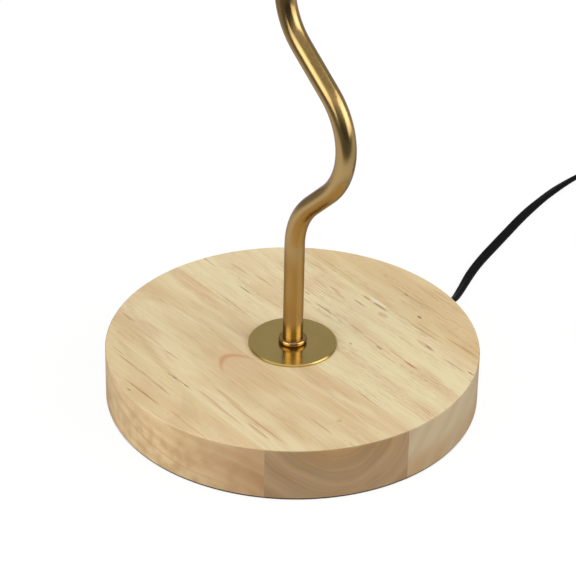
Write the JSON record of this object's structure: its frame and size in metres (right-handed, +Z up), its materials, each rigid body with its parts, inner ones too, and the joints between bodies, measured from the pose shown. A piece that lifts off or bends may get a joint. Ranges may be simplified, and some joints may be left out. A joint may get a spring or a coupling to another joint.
{
  "type": "table lamp",
  "caption": "Table lamp with a round wooden base, a bent brass tube stem, a fabric shade on a screw-socket holder, and a flat cord with a rocker switch and a plug.",
  "frame": {"origin": "centre of the base where it stands on the table", "axes": "+Z up the lamp's axis, +X to the right and -Y towards the viewer of the picture; the cord leaves the base at the back right"},
  "size_m": [0.385, 0.3793, 0.4675],
  "materials": {
    "oiled_wood": "pale edge-glued hardwood, oiled satin",
    "pad_foam": "dark closed-cell foam, matte",
    "satin_brass": "satin polished brass",
    "zinc_steel": "zinc-plated steel, satin",
    "black_rubber": "soft moulded rubber, matte",
    "black_plastic": "moulded thermoplastic, fine spark texture",
    "cream_ceramic": "glazed steatite",
    "contact_brass": "plain stamped brass",
    "nickel_cap": "nickel-plated brass",
    "opal_glass": "opal coated glass",
    "led_strip": "phosphor coated strips on a glass mount",
    "shade_linen": "plain weave linen on a stiff backing",
    "shade_tape": "folded woven tape",
    "white_wire": "white powder-coated steel wire",
    "black_flex": "extruded PVC sheath",
    "tie_nylon": "woven hook-and-loop band"
  },
  "bodies": {
    "lamp": {"base_disc": "oiled_wood", "base_pad": "pad_foam", "cover_disc": "satin_brass", "stem_collar": "satin_brass", "stem_tube": "satin_brass", "stem_washer": "zinc_steel", "stem_lock_washer": "zinc_steel", "stem_nut": "zinc_steel", "cord_bushing": "black_rubber", "cord_inner": "black_flex", "holder_cap": "black_plastic", "holder_grub_screw": "zinc_steel", "holder_insert": "cream_ceramic", "holder_terminals": "contact_brass", "holder_terminal_screws": "zinc_steel", "holder_centre_contact": "contact_brass", "holder_side_contact": "contact_brass", "holder_shell": "black_plastic", "shade_nut_lower": "black_plastic", "shade_nut_upper": "black_plastic", "bulb_glass": "opal_glass", "bulb_cap": "nickel_cap", "bulb_tip": "contact_brass", "bulb_filament": "led_strip", "shade_cover": "shade_linen", "shade_trim_lower": "shade_tape", "shade_trim_upper": "shade_tape", "shade_hoop_lower": "white_wire", "shade_hoop_upper": "white_wire", "shade_fitter": "white_wire", "shade_arms": "white_wire", "cord_run": "black_flex", "switch_base": "black_plastic", "switch_cover": "black_plastic", "switch_terminals": "contact_brass", "switch_terminal_screws": "zinc_steel", "switch_contacts": "contact_brass", "switch_screws": "zinc_steel", "cord_lead": "black_flex", "cord_coil": "black_flex", "coil_tie": "tie_nylon", "cord_tail": "black_flex", "plug_body": "black_plastic", "plug_pins": "nickel_cap"},
    "rocker": {"switch_rocker": "black_plastic"}
  },
  "joints": [
    {"name": "switch_rock", "type": "hinge", "parent": "lamp", "child": "rocker", "pos_m": [0.231, 0.15, 0.0096], "axis": [-1, 0, 0], "range_deg": [0, 16]}
  ]
}
